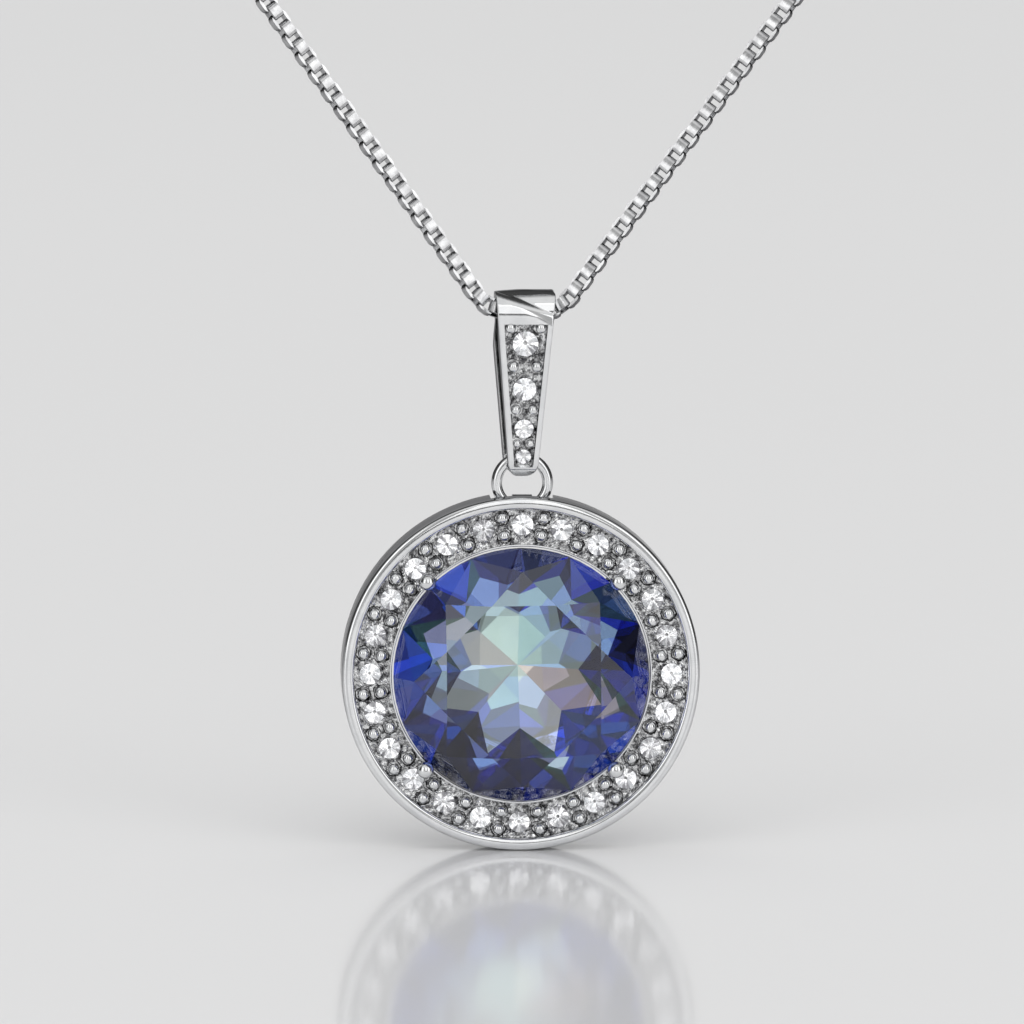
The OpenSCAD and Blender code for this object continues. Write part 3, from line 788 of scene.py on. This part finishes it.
def makeJumpRing():
    profile = [(ringShape["radius"] + ringShape["wire"] * math.cos(math.tau * k / 28),
                ringShape["wire"] * math.sin(math.tau * k / 28)) for k in range(28)]
    around = math.radians(360 - ringShape["gap"])
    ring = spinRing("jumpRing", [(r, d, 0) for r, d in profile], 128, angle=around)
    bpy.ops.object.mode_set(mode="EDIT")  # the cut ends of the wire are closed
    bpy.ops.mesh.select_all(action="DESELECT")
    bpy.ops.mesh.select_non_manifold()
    bpy.ops.mesh.edge_face_add()
    bpy.ops.object.mode_set(mode="OBJECT")
    pointOutwards(ring)
    ring.data.transform(Matrix.Translation((0, 0, ringShape["centreZ"]))
                        @ Matrix.Rotation(math.radians(ringShape["gapAt"]), 4, "Y"))
    smooth(ring, 50)
    return finishPiece(ring, "jump_ring", polishedSilver, "polished_silver", "jump_ring")


makeJumpRing()

bailShape = {
    "chainZ": -41, "ringTopZ": -47.75, "topRadius": 1.15, "tipRadius": 0.86, "forward": 0.2, "topHalf": 1.4,
    "tipHalf": 0.64, "eye": 0.626, "tipHole": 0.46, "recess": 0.16, "seatDepth": 0.42, "rail": 0.26,
    "recessTop": 0.4, "recessEnd": 7.03, "edge": 0.06, "skew": 0.10, "foldDepth": 0.20, "foldReach": 0.60,
    "foldDrop": 1.13, "foldCurve": 1.45, "tipRound": 0.55, "cornerRound": 0.22,
    "gems": [(1.33, 1.18), (3.46, 1.07), (5.31, 0.88), (6.62, 0.68)],  # drop, diameter
    "beads": [(0.58, 0.54), (2.4, 0.54), (4.42, 0.48), (6.0, 0.38)],
}
bailTop = bailShape["chainZ"] + bailShape["topRadius"]
bailHeight = bailTop - (bailShape["ringTopZ"] - bailShape["tipRadius"])
bailDrop = bailShape["chainZ"] - bailShape["ringTopZ"]
bailTilt = math.atan(bailShape["forward"] / bailDrop) + math.asin(
    (bailShape["topRadius"] - bailShape["tipRadius"]) / math.hypot(bailShape["forward"], bailDrop))


def bailHalf(z):  # half the strap's width at one height
    return bailShape["topHalf"] - (bailShape["topHalf"] - bailShape["tipHalf"]) * (bailTop - z) / bailHeight


def bailFront(drop, height=0.0):  # a frame on the strap's front, whose Z points out of it
    y = -bailShape["forward"] - bailShape["topRadius"] / math.cos(bailTilt) + drop * math.tan(bailTilt)
    return (Matrix.Translation((0, y, bailShape["chainZ"] - drop))
            @ Matrix.Rotation(math.pi / 2 + bailTilt, 4, "X") @ Matrix.Translation((0, 0, height)))


def insideSeat(x, drop):  # how far a place lies inside the cone of the nearest bail stone's seat
    return max([paveShape["seatSlope"] * (size / 2 - math.hypot(x, drop - gemDrop))
                for gemDrop, size in bailShape["gems"]])


def beltRows():  # once round the strap: its outer place, the outward direction there and its inner place
    shape = bailShape
    top, bottom = Vector((-shape["forward"], shape["chainZ"])), Vector((0, shape["ringTopZ"]))
    line = bottom - top
    down = math.atan2(line.y, line.x)
    swing = math.acos((shape["topRadius"] - shape["tipRadius"]) / line.length)
    innerTop = Vector((0, shape["chainZ"]))
    rows = []

    def arc(centre, radius, innerCentre, innerRadius, start, end, steps):
        for k in range(steps + 1):
            angle = start + (end - start) * k / steps
            away = Vector((math.cos(angle), math.sin(angle)))
            rows.append((centre + away * radius, away, innerCentre + away * innerRadius))

    arc(bottom, shape["tipRadius"], bottom, shape["tipHole"], down - swing, down + swing, 36)
    first, last = rows[0], rows[-1]
    backTop = Vector((math.cos(down + swing), math.sin(down + swing)))
    for k in range(1, 12):  # up the plain back
        share = k / 12
        rows.append((last[0].lerp(top + backTop * shape["topRadius"], share), last[1],
                     last[2].lerp(innerTop + backTop * shape["eye"], share)))
    arc(top, shape["topRadius"], innerTop, shape["eye"], down + swing, down + math.tau - swing, 96)
    start = rows[-1]
    drops = sorted({shape["recessTop"], shape["recessTop"] + 0.01, *[0.1 + 0.05 * k for k in range(134)]})
    span = start[0].y - first[0].y
    for drop in drops:  # down the front, in small steps for the stones' seats
        share = (start[0].y - (shape["chainZ"] - drop)) / span
        if 0.01 < share < 0.995:
            rows.append((start[0].lerp(first[0], share), first[1], start[2].lerp(first[2], share)))
    return rows


def shoulderDip(x, place, away):  # the fold over the shoulder, from top left down to the right edge
    shape = bailShape
    radius, chainZ = shape["topRadius"], shape["chainZ"]
    climb = radius * math.atan2(away.y, -away.x) if place.y > chainZ - 0.02 else place.y - chainZ
    if away.x > 0.9 or place.y < chainZ - 1.6 or (away.x > 0 and place.y < chainZ):
        return 0.0
    share = min(1.0, max(0.0, (x + shape["topHalf"]) / (2 * shape["topHalf"] - 0.06)))
    fallen = min(shape["foldDrop"] * share ** shape["foldCurve"], radius * 0.999)
    fold = radius * math.asin(1 - fallen / radius)
    past = (climb - fold) * 0.85
    if past < 0:
        return shape["foldDepth"] * max(0.0, 1 + past / shape["foldReach"]) ** 2
    return shape["foldDepth"] * (1 - 0.6 * min(1.0, past / 0.9)) * max(0.0, min(1.0, (2.9 - climb) / 0.6))


def makeBail():
    shape = bailShape
    tip, rail, edge = shape["ringTopZ"] - shape["tipRadius"], shape["rail"], shape["edge"]
    rounding = shape["tipRound"]
    insets = [0, 0.008, 0.022, 0.045, 0.08, 0.14, 0.20, rail - 0.012, rail]
    middle = 22

    def reach(z, side):  # half the width, with the tip and the right top corner rounded
        half, corner = bailHalf(z), bailTop - shape["cornerRound"]
        if z < tip + rounding:
            half = min(half, 0.665 * math.sqrt(max(0.03, 1 - ((tip + rounding - z) / 0.585) ** 2)))
        if side > 0 and z > corner:
            half -= shape["cornerRound"] * (1 - math.sqrt(max(0.0, 1 - ((z - corner) / 0.221) ** 2)))
        return half

    def skew(place):  # the back of the strap stands a little to the left of its front
        front = -shape["forward"] - shape["topRadius"] + (shape["chainZ"] - place.y) * math.tan(bailTilt)
        fade = min(1.0, max(0.0, (shape["chainZ"] - 0.35 - place.y) / 1.2))
        return -shape["skew"] * fade * max(0.0, place.x - front)

    points, faces = [], []
    rows = beltRows()
    for place, away, inside in rows:
        left, right = reach(place.y, -1), reach(place.y, 1)
        drop = shape["chainZ"] - place.y
        pocket = away.x < -0.9 and shape["recessTop"] + 0.005 < drop < shape["recessEnd"]
        channel = left + right - 2 * rail
        columns = [(-left + inset, inset) for inset in insets]
        columns += [(-left + rail + channel * k / middle, None) for k in range(1, middle)]
        columns += [(right - inset, inset) for inset in reversed(insets)]
        for x, inset in columns:
            onRail = inset is not None and inset < rail
            depth = 0.0
            if onRail and inset < edge:
                depth = edge - math.sqrt(max(0.0, edge ** 2 - (edge - inset) ** 2))
            depth += shoulderDip(x, place, away)
            if pocket and not onRail:
                seat = max(0.0, insideSeat(x, drop) + 0.06)
                depth += shape["recess"] + 0.04 + min(shape["seatDepth"], seat)
            spot = place - away * depth
            points.append((x + skew(spot), spot.x, spot.y))
        left, right = reach(inside.y, -1), reach(inside.y, 1)
        shift = skew(inside)
        points += [(right - 0.02 + shift, inside.x, inside.y), (shift, inside.x, inside.y),
                   (-left + 0.02 + shift, inside.x, inside.y)]
    wide, count = len(points) // len(rows), len(rows)
    for i in range(count):
        for k in range(wide):
            a, b = i * wide, (i + 1) % count * wide
            faces.append((a + k, a + (k + 1) % wide, b + (k + 1) % wide, b + k))
    bail = newMesh("bailFrame", points, faces)
    pointOutwards(bail)
    smooth(bail, 34)
    return finishPiece(bail, "bail", polishedSilver, "polished_silver", "bail_frame")


bailBedShape = {
    "rows": 110, "columns": 34, "gap": 0.01, "thick": 0.012, "lip": 0.06, "moat": 0.06, "grain": 0.010,
}


def makeBailBed():  # the channel's floor, with a seat and a lip for each stone and a moat round each bead
    shape, bedShape = bailShape, bailBedShape
    gap, grain, moatWidth = bedShape["gap"], bedShape["grain"], bedShape["moat"]
    top, end = shape["recessTop"] + gap, shape["recessEnd"] - gap
    rows, columns = bedShape["rows"], bedShape["columns"]
    draw = random.Random(31)
    points, faces = [], []
    for level in (0, 1):
        for i in range(rows + 1):
            drop = top + (end - top) * i / rows
            half = bailHalf(shape["chainZ"] - drop) - shape["rail"] - gap
            for k in range(columns + 1):
                x = half * (2 * k / columns - 1)
                seat = insideSeat(x, drop)
                low = -shape["recess"] - 0.03 - min(shape["seatDepth"], max(0.0, seat + 0.03))
                place = Vector((x, -drop, low))
                if level and 0 < i < rows and 0 < k < columns:
                    lip = bedShape["lip"] * math.exp(-((seat / paveShape["seatSlope"] + 0.05) / 0.05) ** 2)
                    moat = min([math.hypot(abs(x) - (half + gap - bead / 2 - 0.02), drop - beadDrop)
                                - bead / 2 for beadDrop, bead in shape["beads"]])
                    rise = lip - 0.01 + draw.uniform(-0.06, 0.05) if moat > moatWidth else -0.12
                    raised = low + bedShape["thick"]
                    if seat > 0:
                        place.z = raised
                    else:
                        lowest = low - 0.02 if moat < moatWidth else raised
                        place.z = max(lowest, -shape["recess"] + rise)
                    place.x += draw.uniform(-grain, grain)
                    place.y += draw.uniform(-grain, grain)
                points.append(bailFront(0) @ place)
    wide, size = columns + 1, (rows + 1) * (columns + 1)
    for i in range(rows):
        for k in range(columns):
            a = i * wide + k
            faces.append((a, a + 1, a + wide + 1, a + wide))
            faces.append((size + a + wide, size + a + wide + 1, size + a + 1, size + a))
    bed = newMesh("bailBed", points, faces)
    onlySelect(bed)
    bpy.ops.object.mode_set(mode="EDIT")
    bpy.ops.mesh.select_all(action="SELECT")
    bpy.ops.mesh.remove_doubles(threshold=0.00005)
    bpy.ops.object.mode_set(mode="OBJECT")
    pointOutwards(bed)
    return finishPiece(bed, "bail", settingSilver, "set_silver")


def beadSeat(side, drop, size):
    across = side * (bailHalf(bailShape["chainZ"] - drop) - bailShape["rail"] - size / 2 - 0.02)
    return bailFront(drop, -bailShape["recess"]) @ Matrix.Translation((across, 0, 0))


print("making the bail")
makeBail()
makeBailBed()
bailSeats = [(bailFront(drop, -bailShape["recess"])
              @ Matrix.Rotation(turns.uniform(0, smallGems["turn"]), 4, "Z"), size)
             for drop, size in bailShape["gems"]]
bailStones = setStones("bailStones", bailSeats, smallGems, clearCrown, clearPavilion, clearPavilion, 9)
finishPiece(bailStones, "bail", None, "clear_stone", "bail_stones")
bailBeadSeats = [(beadSeat(side, drop, size), size) for drop, size in bailShape["beads"] for side in (-1, 1)]
setBeads("bailGrains", bailBeadSeats, "bail", "bail_grains")

finishes = [  # the CAD nodes that stay as they are
    (polishedSilver, ["hanger_eye", "end_cap_left", "end_cap_right", "end_link", "catch_ring", "clasp_eyelet",
                      "clasp_body", "clasp_tongue"]),
    (springSteel, ["clasp_spring"]),
]
for material, names in finishes:
    for name in names:
        cadNodes[name].data.materials.clear()
        cadNodes[name].data.materials.append(material)

studio = {
    "floorColour": (0.88, 0.88, 0.885), "floorShade": 0.995, "floorRoughness": (0.10, 0.115),
    "background": (0.90, 0.90, 0.905), "dark": 0.06, "front": 0.42, "top": 0.75, "behind": 0.80,
    "boxes": [  # name, place, size, glow, seen in polished metal
        ("leftBox", (-0.34, -0.30, 0.05), (0.24, 0.50), 0.95, True),
        ("rightBox", (0.32, -0.30, 0.06), (0.22, 0.50), 0.95, True),
        ("crownBox", (0.02, -0.457, 0.153), (0.22, 0.38), 1.0, True),
        ("floorBox", (0, 0, 0.70), (1.2, 1.2), 0.95, False),
    ],
    "aim": (0, 0, -0.05),
}


def makeFloor():
    deselectAll()
    bpy.ops.mesh.primitive_plane_add(size=8, location=(0, 0, 0))
    floor = bpy.context.object
    floor.name = "studioFloor"
    floor.data.transform(Matrix.Translation((0, 0, cadLow.z - 0.00003)))
    material, nodes, links, shader = startMaterial("paleGloss")
    tone = addNoise(nodes, links, 12.0)
    light = studio["floorColour"]
    dark = tuple(part * studio["floorShade"] for part in light)
    shade = addRamp(nodes, links, tone.outputs["Fac"], dark, light)
    links.new(shade.outputs["Color"], shader.inputs["Base Color"])
    roughness = addRange(nodes, links, tone.outputs["Fac"], *studio["floorRoughness"])
    links.new(roughness.outputs["Result"], shader.inputs["Roughness"])
    floor.data.materials.append(material)


def makeWorld():  # plain to the camera; to the metal and stones, soft walls with dark gaps between them
    world = bpy.data.worlds.new("studioLight")
    scene.world = world
    world.use_nodes = True
    nodes, links = world.node_tree.nodes, world.node_tree.links
    seen, lit = nodes["Background"], nodes.new("ShaderNodeBackground")
    seen.inputs["Color"].default_value = (*studio["background"], 1)
    where, split = nodes.new("ShaderNodeTexCoord"), nodes.new("ShaderNodeSeparateXYZ")
    links.new(where.outputs["Generated"], split.inputs["Vector"])

    def combine(operation, *sources):
        step = nodes.new("ShaderNodeMath")
        step.operation = operation
        for socket, source in zip(step.inputs, sources):
            links.new(source, socket)
        return step.outputs["Value"]

    def fade(source, low, high, start, end):
        return addRange(nodes, links, source, low, high, start, end).outputs["Result"]

    sideways, ahead, height = combine("ABSOLUTE", split.outputs["X"]), split.outputs["Y"], split.outputs["Z"]
    front = combine("MULTIPLY", fade(sideways, 0.0, 1.0, 0.10, 0.24), fade(sideways, 1.0, 0.0, 0.66, 0.86))
    front = combine("MULTIPLY", front, fade(ahead, studio["front"], 0.0, -0.30, 0.0))
    top = fade(height, 0.0, studio["top"], 0.55, 0.75)
    top = combine("MULTIPLY", top, fade(ahead, 1.0, 0.0, -0.25, 0.15))
    back = fade(ahead, 0.0, studio["behind"], 0.4, 0.7)
    back = combine("MULTIPLY", back, fade(height, 1.0, 0.0, 0.30, 0.50))
    back = combine("MULTIPLY", back, fade(sideways, 1.0, 0.0, 0.25, 0.45))
    level = combine("MAXIMUM", combine("MAXIMUM", front, top), back)
    level = fade(level, studio["dark"], 1.0, studio["dark"], 1.0)
    links.new(level, lit.inputs["Color"])
    path, mix = nodes.new("ShaderNodeLightPath"), nodes.new("ShaderNodeMixShader")
    links.new(path.outputs["Is Camera Ray"], mix.inputs["Fac"])
    links.new(lit.outputs["Background"], mix.inputs[1])
    links.new(seen.outputs["Background"], mix.inputs[2])
    links.new(mix.outputs["Shader"], nodes["World Output"].inputs["Surface"])


def makeLights():
    for name, place, size, glow, shown in studio["boxes"]:
        data = bpy.data.lights.new(name, "AREA")
        data.shape, data.size, data.size_y = "RECTANGLE", *size
        data.energy = glow * math.pi * size[0] * size[1]
        light = bpy.data.objects.new(name, data)
        light.location = place
        light.rotation_euler = (Vector(studio["aim"]) - Vector(place)).to_track_quat("-Z", "Y").to_euler()
        light.visible_camera, light.visible_glossy = False, shown
        scene.collection.objects.link(light)


print("lighting the studio")
makeFloor()
makeWorld()
makeLights()
scene.view_settings.view_transform = "Standard"
